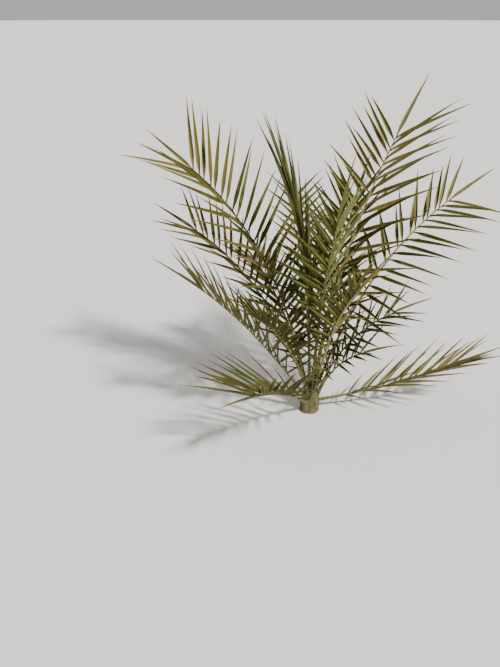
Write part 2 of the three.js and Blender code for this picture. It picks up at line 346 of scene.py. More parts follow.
def frond_points(frond, s):
    """Points of a stalk at shares s: the sum of short steps along its forward way from its seat,
    straight on below the seat."""
    s = np.asarray(s, float)
    length = frond["length"] * MM
    steps = (np.arange(PATH_STEPS) + 0.5) / PATH_STEPS
    hops = frond_axes(frond, steps)[0] * length / PATH_STEPS
    seat = on_stump(np.radians(frond["at"]), np.float64(frond["seat"] * MM), 0)
    path = seat + np.vstack([np.zeros(3), np.cumsum(hops, 0)])
    marks = np.linspace(0, 1, PATH_STEPS + 1)
    inside = np.stack([np.interp(s, marks, path[:, i]) for i in range(3)], -1)
    return inside + np.minimum(s, 0)[..., None] * length * frond_axes(frond, 0)[0]


def stalk_width(frond, s):
    """Width of a stalk: straight from its foot to the end of the foot's share, then to its tip."""
    foot = lerp(frond["foot"] * MM, STALK_WIDTH, np.clip(s / FOOT_SHARE, 0, 1))
    taper = lerp(STALK_WIDTH, TIP_WIDTH, np.clip((s - FOOT_SHARE) / (1 - FOOT_SHARE), 0, 1))
    return np.where(s < FOOT_SHARE, foot, taper)


# Meshes


def tube_faces(tubes, rings, corners):
    """Quads between the rings of closed tubes, and a flat cap at each end. Corners run
    anticlockwise for someone who looks back along the tube, so that the faces point out."""
    first = (np.arange(tubes) * rings * corners)[:, None, None]
    ring = (np.arange(rings - 1) * corners)[None, :, None]
    corner = np.arange(corners)[None, None, :]
    a = first + ring + corner
    b = first + ring + (corner + 1) % corners
    quads = np.stack([a, b, b + corners, a + corners], -1).reshape(-1, 4)
    foot = first[:, 0] + np.arange(corners)[::-1]
    tip = first[:, 0] + (rings - 1) * corners + np.arange(corners)
    return quads, np.vstack([foot, tip])


def tube_piece(name, points, across, along, finish, crease=35):
    """Piece made of closed tubes, from an array of tubes, rings, corners and three coordinates.
    Its UV map holds the place across a tube and the metres along it, and edges sharper than the
    crease in degrees stay sharp."""
    tubes, rings, corners = points.shape[:3]
    quads, caps = tube_faces(tubes, rings, corners)
    corner_of = np.concatenate([quads.ravel(), caps.ravel()])
    sizes = np.concatenate([np.full(len(quads), 4), np.full(len(caps), corners)])
    mesh = bpy.data.meshes.new(name)
    mesh.vertices.add(tubes * rings * corners)
    mesh.vertices.foreach_set("co", points.astype(np.float32).ravel())
    mesh.loops.add(len(corner_of))
    mesh.loops.foreach_set("vertex_index", corner_of.astype(np.int32))
    mesh.polygons.add(len(sizes))
    mesh.polygons.foreach_set("loop_start", (np.cumsum(sizes) - sizes).astype(np.int32))
    mesh.update(calc_edges=True)
    uv = np.stack(np.broadcast_arrays(across, along, points[..., 0])[:2], -1).reshape(-1, 2)
    uv_map = mesh.uv_layers.new(name="UVMap")
    uv_map.uv.foreach_set("vector", uv[corner_of].astype(np.float32).ravel())
    mesh.shade_smooth()
    mesh.set_sharp_from_angle(angle=np.radians(crease))
    mesh.materials.append(finish)
    piece = bpy.data.objects.new(name, mesh)
    bpy.context.scene.collection.objects.link(piece)
    return piece


def round_tubes(centres, radii, beside, corners):
    """Rings round centre lines: each ring is square to its line, and its first corner lies on the
    side that is given."""
    forward = unit(np.gradient(centres, axis=1))
    right = unit(np.cross(forward, beside))
    up = np.cross(right, forward)
    turn = circle(corners)[:, None]
    ring = up[:, :, None] * np.cos(turn) + right[:, :, None] * np.sin(turn)
    return centres[:, :, None] + radii[:, :, None, None] * ring


def rod_piece(name, centres, radii, beside, corners, along, finish, crease):
    """Piece made of round tubes along centre lines."""
    points = round_tubes(centres, radii, beside, corners)
    return tube_piece(name, points, np.linspace(0, 1, corners), along, finish, crease)


def seat_piece(piece, nodes):
    """Makes a piece part of the palm: it rides on the root and replaces its nodes."""
    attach(piece, "root")
    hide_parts(*nodes)


# Finishes


class Wire:
    """A shader socket that sums like a number: each operator adds one Math node."""

    def __init__(self, finish, socket):
        self.finish = finish
        self.socket = socket

    def sum(self, operation, *values):
        """Math node on two values."""
        return self.finish.node("ShaderNodeMath", {"operation": operation}, dict(enumerate(values)))

    def __add__(self, other):
        return self.sum("ADD", self, other)

    def __radd__(self, other):
        return self.sum("ADD", other, self)

    def __sub__(self, other):
        return self.sum("SUBTRACT", self, other)

    def __rsub__(self, other):
        return self.sum("SUBTRACT", other, self)

    def __mul__(self, other):
        return self.sum("MULTIPLY", self, other)

    def __rmul__(self, other):
        return self.sum("MULTIPLY", other, self)


class Finish:
    """A material and the one way that nodes are added to it."""

    def __init__(self, name):
        self.material = bpy.data.materials.new(name)
        self.material.use_nodes = True
        self.tree = self.material.node_tree
        self.tree.nodes.clear()

    def node(self, kind, settings, inputs, output=0):
        """Adds a node: its settings first, then values or links for its sockets. Gives the output
        asked for, if the node has one."""
        made = self.tree.nodes.new(kind)
        for key, value in settings.items():
            setattr(made, key, value)
        for key, value in inputs.items():
            if isinstance(value, Wire):
                self.tree.links.new(value.socket, made.inputs[key])
            else:
                made.inputs[key].default_value = value
        return Wire(self, made.outputs[output]) if made.outputs else None

    def place(self, name="Object"):
        """Coordinates of the piece: its own metres, or its UV map."""
        return self.node("ShaderNodeTexCoord", {}, {}, name)

    def noise(self, place, scale, detail=3, stretch=(1, 1, 1)):
        """Noise between 0 and 1 at a scale in waves a metre, stretched along the axes."""
        stretched = self.node("ShaderNodeMapping", {}, {"Vector": place, "Scale": stretch})
        return self.node(
            "ShaderNodeTexNoise", {}, {"Vector": stretched, "Scale": scale, "Detail": detail})

    def part(self, place, axis):
        """One coordinate of a place."""
        return self.node("ShaderNodeSeparateXYZ", {}, {"Vector": place}, axis)

    def between(self, value, low, high):
        """Share from 0 where a value is low to 1 where it is high, level at both ends."""
        return self.node(
            "ShaderNodeMapRange", {"interpolation_type": "SMOOTHSTEP"},
            {"Value": value, "From Min": low, "From Max": high})

    def blend(self, share, first, second):
        """Colour between two colours."""
        first, second = (c if isinstance(c, Wire) else (*c, 1) for c in (first, second))
        return self.node("ShaderNodeMix", {"data_type": "RGBA"}, {0: share, 6: first, 7: second}, 2)

    def done(self, colour, roughness, height, depth, constants=None):
        """Joins a colour, a roughness and a bump height of a depth in metres to the surface."""
        bump = self.node("ShaderNodeBump", {}, {"Distance": depth, "Height": height})
        inputs = {"Base Color": colour, "Roughness": roughness, "Normal": bump, **(constants or {})}
        surface = self.node("ShaderNodeBsdfPrincipled", {}, inputs)
        self.node("ShaderNodeOutputMaterial", {}, {"Surface": surface})
        return self.material


def shade(colour, factor):
    """A colour made lighter or darker."""
    return tuple(min(1, factor * c) for c in colour)


# Waxy bloom that leaflets fade to in patches, and weathered grey of old fibre
PALER = (0.21, 0.185, 0.06)
WEATHERED = (0.23, 0.18, 0.125)


def leaf_finish(name, colour):
    """Waxy leaflet: soft mottling in two sizes, and a fine grain."""
    f = Finish(name)
    place = f.place()
    mottle = f.noise(place, scale=34, detail=4)
    patch = f.noise(place, scale=7, detail=2)
    grain = f.noise(place, scale=420, detail=2, stretch=(1, 1, 0.3))
    mottled = f.between(mottle, low=0.3, high=0.7)
    body = f.blend(mottled, shade(colour, 0.8), shade(colour, 1.15))
    bloom = 0.35 * f.between(patch, low=0.45, high=0.75)
    return f.done(
        f.blend(bloom, body, PALER), roughness=0.55 + 0.2 * mottle, height=grain,
        depth=0.12 * MM, constants={"Specular IOR Level": 0.15})


def dry_finish(name, colour):
    """Papery dry leaf: streaked from tan to brown, dull, with fine wrinkles."""
    f = Finish(name)
    place = f.place()
    streak = f.noise(place, scale=60, detail=5)
    wrinkle = f.noise(place, scale=500, detail=3)
    streaked = f.between(streak, low=0.3, high=0.72)
    body = f.blend(streaked, shade(colour, 0.5), shade(colour, 1.25))
    return f.done(body, roughness=0.72 + 0.15 * wrinkle, height=wrinkle, depth=0.2 * MM)


def stalk_finish(name, upper, foot, base):
    """Stalk: brown in ragged tongues at its clasping base, and higher along the base's edges,
    where it is partly the edges' own brown and partly painted shade in the grooves between
    overlapping bases; green above it and olive further out, with fine ribs along it and scattered
    dry flecks."""
    f = Finish(name)
    place = f.place()
    uv = f.place("UV")
    height = f.part(place, 2)
    across = f.part(uv, 0)
    far = f.node("ShaderNodeVectorMath", {"operation": "LENGTH"}, {0: place}, 1)
    mottle = f.noise(place, scale=26, detail=4)
    ribs = f.noise(uv, scale=60, detail=2, stretch=(1, 0.12, 1))
    flecks = f.between(f.noise(place, scale=210, detail=3), low=0.62, high=0.74)
    fresh = f.blend(f.between(far + 0.2 * mottle, low=0.25, high=0.6), foot, upper)
    shadow = 0.4 * f.between(ribs, low=0.35, high=0.7)
    flecked = f.blend(0.5 * flecks, f.blend(shadow, fresh, shade(upper, 0.55)), base)
    tongue = f.noise(place, scale=190, detail=3, stretch=(1, 1, 0.25))
    # The brown climbs higher along the base's edges: partly their own brown, partly painted shade
    # in the grooves between overlapping bases
    edge_brown_and_groove_shade = 1 - f.between(across * (1 - across), low=0.02, high=0.13)
    ragged = height + 0.05 * (1 - tongue) - 0.035 * edge_brown_and_groove_shade
    brown = 1 - f.between(ragged, low=0.018, high=0.05)
    return f.done(
        f.blend(brown, flecked, base), roughness=0.45 + 0.3 * mottle,
        height=ribs + 0.5 * flecks, depth=0.3 * MM)


def fibre_finish(name, colour):
    """Brown fibre and bark: long streaks upwards over coarse patches, quite dull."""
    f = Finish(name)
    place = f.place()
    streak = f.noise(place, scale=380, detail=4, stretch=(1, 1, 0.12))
    patch = f.noise(place, scale=45, detail=3)
    streaked = f.between(streak, low=0.3, high=0.7)
    body = f.blend(streaked, shade(colour, 0.35), shade(colour, 1.5))
    aged = f.blend(0.5 * f.between(patch, low=0.45, high=0.75), body, WEATHERED)
    return f.done(aged, roughness=0.78 + 0.18 * patch, height=streak, depth=0.6 * MM)


def spine_finish(name, colour):
    """Hard smooth spine or swelling: pale with darker mottling."""
    f = Finish(name)
    mottle = f.noise(f.place(), scale=120, detail=3)
    mottled = f.between(mottle, low=0.35, high=0.7)
    body = f.blend(mottled, shade(colour, 1.3), shade(colour, 0.6))
    return f.done(body, roughness=0.35 + 0.2 * mottle, height=mottle, depth=0.1 * MM)


def floor_finish(name, colour):
    """Plain matt floor with the faintest unevenness."""
    f = Finish(name)
    patch = f.noise(f.place(), scale=2, detail=2)
    body = f.blend(patch, shade(colour, 0.985), shade(colour, 1.015))
    return f.done(body, roughness=0.85 + 0.05 * patch, height=patch, depth=0.5 * MM)


# Leaflets

# Leaflets spring in loose twos along a row, closer by this share, and closer together towards the
# tip. The two ranks fan out at the foot, and leaflets fall short and twist by chance
CLUMP = 0.1
CLOSER_AT_TIP = 0.28
RANK_AT_FOOT = 22
RANK_EVEN_AT = 0.4
SHORTFALL = 0.1
TWIST = 16

# How far a leaflet bows sideways, and how much its sag varies
BOW = 0.02
SAG_SPREAD = 0.7

# Share of dry leaflets on the oldest frond, range of the dry tips, and how much the tone varies
# from leaflet to leaflet and from the foot of a frond to its tip
DRY_SHARE = 0.08
TIP_RANGE = (0.25, 1)
TONE_SPREAD = 0.24
TONE_TO_TIP = 0.16

# Added to a leaflet's seed for each of its traits, so that they vary apart
LEAF_SEED = {
    "length": 0.25, "rise": 0.5, "twist": 3, "tone": 5, "sag": 9, "dry": 11, "bow": 13, "tip": 21,
}

# Section of a leaflet, from its groove round by its right edge: how far each corner lies across
# from the fold, its share of the height of the edges, and how many half thicknesses it is above
# the blade's middle
SECTION_ACROSS = np.array([0, 1, 0, -1])
SECTION_HEIGHT = np.array([0, 1, 0, 1])
SECTION_SIDE = np.array([1, 0, -2.2, 0])
BLADE_STATIONS = 12
TIP_STATIONS = 4

# A leaflet's outline: the length that has the usual width, the width at its neck, where it is
# widest, how full its long taper is, and its narrowest width
USUAL_LENGTH = 300 * MM
NECK = 0.42
WIDEST = 0.19
TAPER = 1.75
NARROWEST = 0.03

# Its blade: half the thickness with the shares of it at neck and tip, where the neck has opened,
# and how far its halves are folded up at the neck, and more than usual at the tip
BLADE_HALF_THICKNESS = 0.28 * MM
THICK_AT_ENDS = (1.3, 0.4)
NECK_OPEN_AT = 0.22
FOLDED_NECK = 66
FOLDED_TIP = 14

# Swollen base of a leaflet of the usual length: how far it stands out of the stalk, its radius,
# and the places of its rings with their shares of the radius
SWELLING_LENGTH = 7 * MM
SWELLING_RADIUS = 2.3 * MM
SWELLING_PLACES = np.array([0, 0.62, 1])
SWELLING_TAPER = np.array([1, 0.95, 0.5])
SWELLING_CORNERS = 6


def frond_leaflets(frond, sizes):
    """One frond's leaflets, as arrays: where they spring, their ways along, across and up, their
    length, place on the frond, tone and seed."""
    pairs = round(sizes.pairs + frond["more"] + frond["length"] * MM / sizes.spacing)
    side = np.repeat([1.0, -1.0], pairs)
    k = np.tile(np.arange(pairs), 2)
    u = (k + 0.5 + STAGGER * side + CLUMP * np.where(k % 2, -1, 1)) / pairs
    u = u + CLOSER_AT_TIP * u * (1 - u)
    seed = FROND_SEED * frond["order"] + 2 * k + (side + 1) / 2
    rank = lerp(RANK_AT_FOOT, RANK, np.clip(u / RANK_EVEN_AT, 0, 1))
    opening = lerp(frond["open_foot"], frond["open_tip"], u) + side * frond["skew"]
    opening = opening + WANDER * wander(seed)
    stray = 2 * WANDER * wander(seed + LEAF_SEED["rise"])
    rise = frond["rise"] + np.where(k % 2, rank, -rank) + stray
    rising = lerp(SHORTEST, 1, u / FULL_LENGTH_AT)
    falling = lerp(1, LENGTH_AT_TIP, (u - FULL_LENGTH_AT) / (1 - FULL_LENGTH_AT))
    grown = np.where(u < FULL_LENGTH_AT, rising, falling)
    grown = grown * (1 - SHORTFALL * chance(seed + LEAF_SEED["length"]))
    s = np.append(lerp(frond["bare"], TIP_ROOT, u), TIP_ROOT)
    side = np.append(side, 1)
    opening = np.radians(np.append(opening, 0))[:, None]
    rise = np.radians(np.append(rise, 0))[:, None]
    seed = np.append(seed, FROND_SEED * frond["order"] + 2 * pairs)

    forward, right, up = frond_axes(frond, s)
    outward = right * side[:, None] * np.cos(rise) + up * np.sin(rise)
    along = forward * np.cos(opening) + outward * np.sin(opening)
    upper = unit(up - along * dot(up, along))
    across = np.cross(along, upper)
    twist = np.radians(TWIST * wander(seed + LEAF_SEED["twist"]))[:, None]
    return {
        "root": frond_points(frond, s) - up * (LEAF_ROOT_DEPTH * stalk_width(frond, s))[:, None],
        "along": along,
        "across": across * np.cos(twist) + upper * np.sin(twist),
        "upper": upper * np.cos(twist) - across * np.sin(twist),
        "stalk": stalk_width(frond, s),
        "length": frond["leaf"] * MM * np.append(grown, frond["tip"]),
        "place": np.append(u, 1),
        "tone": np.full(len(s), frond["tone"]),
        "age": np.full(len(s), 1 - frond["seat"] * MM / STUMP_HEIGHT),
        "seed": seed,
    }


def crown_leaflets(sizes):
    """Leaflets of all fronds, each value in one array."""
    fronds = [frond_leaflets(frond, sizes) for frond in PALM]
    return {key: np.concatenate([frond[key] for frond in fronds]) for key in fronds[0]}


def blade_points(leaves, start, end, stations, sizes):
    """Rings of folded leaflets between two shares of their length. The half width rises as a sine
    to the widest place and falls as one less a power of what is left; the halves rise from the
    fold by an angle that is closed at the neck and closes again to the tip; the line sags with
    the square of the share."""
    t = start[:, None] + (end - start)[:, None] * stations
    rest = np.clip((t - WIDEST) / (1 - WIDEST), 0, 1)
    swell = lerp(NECK, 1, np.sin(np.pi / 2 * np.clip(t / WIDEST, 0, 1)))
    length = leaves["length"][:, None]
    widest = sizes.leaf_width * np.sqrt(length / USUAL_LENGTH)
    half = widest / 2 * np.maximum(NARROWEST, swell * (1 - rest ** TAPER))
    closed = 1 - smooth(0, NECK_OPEN_AT, t)
    angle = lerp(sizes.fold, np.radians(FOLDED_NECK), closed) + np.radians(FOLDED_TIP) * rest
    thick = BLADE_HALF_THICKNESS * lerp(*THICK_AT_ENDS, t)

    down = np.array([0, 0, -1.0])
    hang = down - leaves["along"] * dot(down, leaves["along"])
    sag = sizes.sag * (1 + SAG_SPREAD * wander(leaves["seed"] + LEAF_SEED["sag"]))
    bow = BOW * wander(leaves["seed"] + LEAF_SEED["bow"])
    bend = hang * sag[:, None] + leaves["across"] * bow[:, None]
    line = leaves["root"][:, None] + leaves["along"][:, None] * (length * t)[..., None]
    line = line + bend[:, None] * (length * t ** 2)[..., None]

    sideways = (half * np.cos(angle))[..., None] * SECTION_ACROSS
    height = (half * np.sin(angle))[..., None] * SECTION_HEIGHT + thick[..., None] * SECTION_SIDE
    return (
        line[:, :, None]
        + leaves["across"][:, None, None] * sideways[..., None]
        + leaves["upper"][:, None, None] * height[..., None]
    ), t * length


def blade_piece(name, leaves, start, end, count, finish, sizes):
    """Piece of folded leaflets between two shares of their length."""
    points, metres = blade_points(leaves, start, end, eased(count), sizes)
    piece = tube_piece(name, points, (1 + SECTION_ACROSS) / 2, metres[..., None], finish)
    seat_piece(piece, FRONDS)


class PALM_OT_swellings(bpy.types.Operator):
    """Pale swollen base that each leaflet springs from"""

    bl_idname = "palm.swellings"
    bl_label = "Leaflet bases"

    def execute(self, context):
        # A round tube goes along each leaflet from the stalk's middle to just past its side. Its
        # size is the root of the leaflet's length
        leaves = crown_leaflets(context.scene.palm_sizes)
        size = np.sqrt(leaves["length"] / USUAL_LENGTH)[:, None]
        reach = leaves["stalk"][:, None] / 2 + SWELLING_LENGTH * size
        far = reach * SWELLING_PLACES
        centres = leaves["root"][:, None] + leaves["along"][:, None] * far[..., None]
        radii = SWELLING_RADIUS * size * SWELLING_TAPER
        beside = leaves["upper"][:, None] + 0 * centres
        finish = spine_finish("leaflet_base", context.scene.palm_colours.stalk_foot)
        piece = rod_piece(
            "leaflet_bases", centres, radii, beside, SWELLING_CORNERS, far[..., None], finish,
            crease=80)
        seat_piece(piece, FRONDS)
        return {"FINISHED"}


class PALM_OT_leaflets(bpy.types.Operator):
    """Folded leaflets of every frond, dealt out in tints, with their dry tips"""

    bl_idname = "palm.leaflets"
    bl_label = "Leaflets"

    def execute(self, context):
        sizes = context.scene.palm_sizes
        colours = context.scene.palm_colours
        leaves = crown_leaflets(sizes)
        seed = leaves["seed"]
        tip = sizes.tip_share * dealt(TIP_RANGE, seed + LEAF_SEED["tip"], power=2)
        tone = leaves["tone"] + TONE_SPREAD * wander(seed + LEAF_SEED["tone"])
        tone = tone + TONE_TO_TIP * (leaves["place"] - 0.5)
        tint = np.clip(np.floor(tone * len(TINTS)), 0, len(TINTS) - 1)
        dry = chance(seed + LEAF_SEED["dry"]) < DRY_SHARE * leaves["age"]
        for number, name in enumerate(TINTS):
            chosen = (tint == number) & ~dry
            self.deal(leaves, chosen, tip, name, leaf_finish(name, getattr(colours, name)), sizes)
        papery = dry_finish("dry_leaf", colours.dry)
        self.deal(leaves, dry, tip, "dry", papery, sizes)
        ends = np.ones(len(tip))
        blade_piece("leaflet_tips", leaves, 1 - tip, ends, TIP_STATIONS, papery, sizes)
        return {"FINISHED"}

    @staticmethod
    def deal(leaves, chosen, tip, name, finish, sizes):
        """One tint's leaflets, up to their dry tips."""
        some = {key: value[chosen] for key, value in leaves.items()}
        share = tip[chosen]
        start = np.zeros(len(share))
        blade_piece(f"leaflets_{name}", some, start, 1 - share, BLADE_STATIONS, finish, sizes)


# Stalks

# Section of a stalk, from its upper face round by its right edge: its corners, height above the
# middle, depth below it and depth of the channel, and the powers that make the face flat, the
# channel narrow and the keel round. The keel's powers are a stalk's and a clasping base's
STALK_CORNERS = 16
TURN = circle(STALK_CORNERS)
UPPER_HEIGHT = 0.17
LOWER_DEPTH = 0.47
CHANNEL = 0.55
FACE_POWER = 0.4
CHANNEL_POWER = 6
KEEL_POWERS = (0.7, 1.25)

# A stalk narrows by a share at its end, from a place on
END_NARROWS = 0.35
END_FROM = 0.9

# Rings of the clasping base and of the stalk, and where along them one turns into the other. A base
# widens down to a reach below its seat, ends just above the ground, and lies further out the lower
# its seat is
BASE_RINGS = 24
STALK_RINGS = 44
BASE_FOOT = 2 * MM
BASE_REACH = 60 * MM
BASE_WIDENS = 1.3
BASE_HEIGHT = 0.6 * MM
BASE_DEPTH = 3.4 * MM
BASE_LIFT = 0.4 * MM
BASE_OVERLAP = 0.03
TURNS_FROM = -18 * MM
TURNS_TO = 16 * MM

# Ripples of a base's edges, as a share of its width, and of its face: how high they are, the length
# they are measured by, and how far they move on from one frond to the next
EDGE_RIPPLE = (0.07, 5 * MM, 5)
FACE_RIPPLE = (0.7 * MM, 9 * MM, 2)


def ripple(far, order, height, pitch, shift):
    """Ripple along a base: a sine of the distance over its pitch, moved on for each frond."""
    return height * np.sin(far / pitch + shift * order)


def base_lengths(frond):
    """Places along a clasping base, from near the ground to where the stalk leaves the stump."""
    return np.linspace(BASE_FOOT - frond["seat"] * MM, TURNS_TO, BASE_RINGS)


def stalk_lengths(frond):
    """Places along a stalk above its base, closer together at first."""
    return lerp(TURNS_TO, frond["length"] * MM, eased(STALK_RINGS))


def stalk_points(frond, far, sizes):
    """Rings of one stalk and its clasping base at places along it. Below the seat a ring lies on
    the stump at its height, wide and thin; above it, it is square to the stalk. Between, it goes
    from one to the other. The upper face has a channel, and the lower one is a rounded keel."""
    seat = frond["seat"] * MM
    s = far / (frond["length"] * MM)
    width = stalk_width(frond, s) * (1 - END_NARROWS * smooth(END_FROM, 1, s))
    clasp = 1 - smooth(-min(seat, BASE_REACH), TURNS_TO, far)
    ragged = 1 + ripple(far, frond["order"], *EDGE_RIPPLE) * clasp
    wide = lerp(width, sizes.sheath_width, clasp ** BASE_WIDENS) * ragged
    top = lerp(UPPER_HEIGHT * width, BASE_HEIGHT, clasp)[:, None]
    bottom = lerp(LOWER_DEPTH * width, BASE_DEPTH, clasp)[:, None]
    sideways = wide[:, None] / 2 * np.sin(TURN)
    face = np.maximum(np.cos(TURN), 0)
    keel = np.maximum(-np.cos(TURN), 0) ** lerp(*KEEL_POWERS, clasp)[:, None]
    channel = CHANNEL * (1 - clasp)[:, None]
    height = top * (face ** FACE_POWER - channel * face ** CHANNEL_POWER) - bottom * keel

    angle = np.radians(frond["at"]) - sideways / (STUMP_RADIUS + BASE_LIFT)
    on_height = np.broadcast_to((seat + far)[:, None], angle.shape)
    wave = ripple(far, frond["order"], *FACE_RIPPLE)[:, None]
    out = BASE_LIFT + BASE_OVERLAP * (STUMP_HEIGHT - seat) + wave - height
    hugging = on_stump(angle, on_height, out)
    right, up = (axis[:, None] for axis in frond_axes(frond, s)[1:])
    free = frond_points(frond, s)[:, None] + right * sideways[..., None] + up * height[..., None]
    turned = smooth(TURNS_FROM, TURNS_TO, far)[:, None, None]
    return lerp(hugging, free, turned)


class PALM_OT_stalks(bpy.types.Operator):
    """Stalks of every frond, each with its clasping base on the stump"""

    bl_idname = "palm.stalks"
    bl_label = "Stalks"

    def execute(self, context):
        sizes = context.scene.palm_sizes
        colours = context.scene.palm_colours
        grown = stalk_finish("stalk", colours.stalk, colours.stalk_foot, colours.fibre)
        green = stalk_finish("young_stalk", colours.green, colours.young_stalk, colours.fibre)
        young = [frond for frond in PALM if frond["tone"] < YOUNG_TONE]
        older = [frond for frond in PALM if frond["tone"] >= YOUNG_TONE]
        self.make("young_bases", young, base_lengths, green, sizes)
        self.make("young_stalks", young, stalk_lengths, green, sizes)
        self.make("frond_bases", older, base_lengths, grown, sizes)
        self.make("frond_stalks", older, stalk_lengths, grown, sizes)
        return {"FINISHED"}

    @staticmethod
    def make(name, fronds, lengths, finish, sizes):
        """One piece of the bases or the stalks of some fronds."""
        metres = np.stack([lengths(frond) for frond in fronds])
        points = np.stack([stalk_points(*pair, sizes) for pair in zip(fronds, metres)])
        across = (1 + np.sin(TURN)) / 2
        piece = tube_piece(name, points, across, metres[..., None], finish, crease=60)
        seat_piece(piece, [frond["name"] for frond in fronds])


# Spines

# Their row on a stalk: spacing, its start and how far it reaches past the bare share, how much each
# strays along it, and how far out from the stalk's middle they spring as a share of its width
SPINE_SPACING = 15 * MM
SPINE_FROM = 0.03
SPINE_PAST = 0.01
SPINE_STRAY = 0.3
SPINE_SIDE = 0.4

# Their ways in degrees: opening at the foot and the end of the row, how much it wanders, and rise
SPINE_OPEN = (62, 46)
SPINE_WANDER = 8
SPINE_RISE = 34

# Their lengths as shares of the longest, from the foot of the row to its end and by chance, and
# their radii from root to point
SPINE_GROWTH = (0.3, 1)
SPINE_CHANCE = (0.7, 1)
SPINE_RADII = 1.1 * MM * np.array([1.25, 1, 0.8, 0.5, 0.05])
SPINE_CORNERS = 6
SPINE_SEED = {"place": 31, "opening": 33, "rise": 35, "length": 37}


def spine_lines(frond, sizes):
    """Centre lines of one stalk's spines, their upper sides and the metres along them: they open
    less and grow longer towards the leaflets."""
    count = max(2, round(frond["length"] * MM * frond["bare"] / SPINE_SPACING))
    side = np.repeat([1.0, -1.0], count)
    k = np.tile(np.arange(count), 2)
    seed = FROND_SEED * frond["order"] + 2 * k + (side + 1) / 2
    u = (k + 0.5 + SPINE_STRAY * wander(seed + SPINE_SEED["place"])) / count
    s = lerp(SPINE_FROM, frond["bare"] + SPINE_PAST, u)
    stray = SPINE_WANDER * wander(seed + SPINE_SEED["opening"])
    opening = np.radians(lerp(*SPINE_OPEN, u) + stray)[:, None]
    rise = np.radians(SPINE_RISE * chance(seed + SPINE_SEED["rise"]))[:, None]
    forward, right, up = frond_axes(frond, s)
    outward = right * side[:, None] * np.cos(rise) + up * np.sin(rise)
    along = forward * np.cos(opening) + outward * np.sin(opening)
    root = frond_points(frond, s) + right * (side * SPINE_SIDE * stalk_width(frond, s))[:, None]
    length = sizes.spine_length * lerp(*SPINE_GROWTH, u)
    length = length * dealt(SPINE_CHANCE, seed + SPINE_SEED["length"])
    far = length[:, None, None] * np.linspace(0, 1, len(SPINE_RADII))[None, :, None]
    return root[:, None] + along[:, None] * far, up[:, None] + 0 * far, far


class PALM_OT_spines(bpy.types.Operator):
    """Stiff spines on the bare lower stalks"""

    bl_idname = "palm.spines"
    bl_label = "Spines"

    def execute(self, context):
        lines = [spine_lines(frond, context.scene.palm_sizes) for frond in PALM]
        centres, beside, far = (np.concatenate(values) for values in zip(*lines))
        radii = np.broadcast_to(SPINE_RADII, centres.shape[:2])
        finish = spine_finish("spine", context.scene.palm_colours.gold)
        piece = rod_piece(
            "stalk_spines", centres, radii, beside, SPINE_CORNERS, far, finish, crease=60)
        seat_piece(piece, FRONDS)
        return {"FINISHED"}


# Stump, its old bases and its fibre

# The stump's grid; its ledges, with how many pairs go round it, their height, depth and roundness;
# its ribs, by how many go round it, their slant, their groups and their height; and the power by
# which both die away at the top
STUMP_CORNERS = 144
STUMP_RINGS = 72
LEDGE_PAIRS = 7
LEDGE_HEIGHT = 21 * MM
LEDGE_DEPTH = 1.8 * MM
LEDGE_ROUNDNESS = 0.5
RIBS = 61
RIB_SLANT = 9
RIB_GROUPS = 23
RIB_HEIGHT = 0.3 * MM
RELIEF_ENDS = 8

# Old bases: grid, ranges of their height, width, lean and distance from the stump, how far they
# stray round it, how full their taper is, half the width of the tip, and how much lighter they are
# than the stump
OLD_STATIONS = 9
OLD_CORNERS = 10
OLD_FOOT = 1 * MM
OLD_TALL = (9 * MM, 62 * MM)
OLD_WIDE = (9 * MM, 30 * MM)
OLD_LEAN = (1 * MM, 16 * MM)
OLD_OUT = (2.5 * MM, 6.5 * MM)
OLD_STRAY = 0.45
OLD_TAPER = 1.7
OLD_TIP = 0.4 * MM
OLD_SHADE = 1.25

# Their thickness, with the shares of it at foot and tip, and of the ridge outside and the back
# inside. Their edges' waves and their swerve: size, turn along the base, and turn round the stump
OLD_THICKNESS = 1.1 * MM
OLD_THINNING = (1, 0.4)
OLD_RIDGE = 1.4
OLD_BACK = 0.5
OLD_WAVE = (0.12, 9, 3)
OLD_SWERVE = (0.12, 2, 1)
OLD_SEED = {"tall": 0.15, "wide": 0.25, "lean": 0.35, "turn": 0.45, "out": 0.55}

# Strands of fibre: grid, radius and the share of it at the tip, how far they keep below the top,
# ranges of the height of their foot, their rise, slant, looseness and distance from the stump, and
# how much lighter they are than it
STRAND_RINGS = 9
STRAND_CORNERS = 5
STRAND_RADIUS = 0.38 * MM
STRAND_TIP = 0.35
STRAND_GAP = 4 * MM
STRAND_LOW = (3 * MM, 66 * MM)
STRAND_RISE = (22 * MM, 50 * MM)
STRAND_SLANT = (0.2, 0.9)
STRAND_STRAY = 0.16
STRAND_LOOSE = (0.5 * MM, 8 * MM)
STRAND_OUT = (1.5 * MM, 8 * MM)
STRAND_SHADE = 1.35
STRAND_SEED = {
    "low": 0.1, "rise": 0.2, "slant": 0.3, "turn": 0.4, "stray": 0.5, "loose": 0.6, "out": 0.7,
}


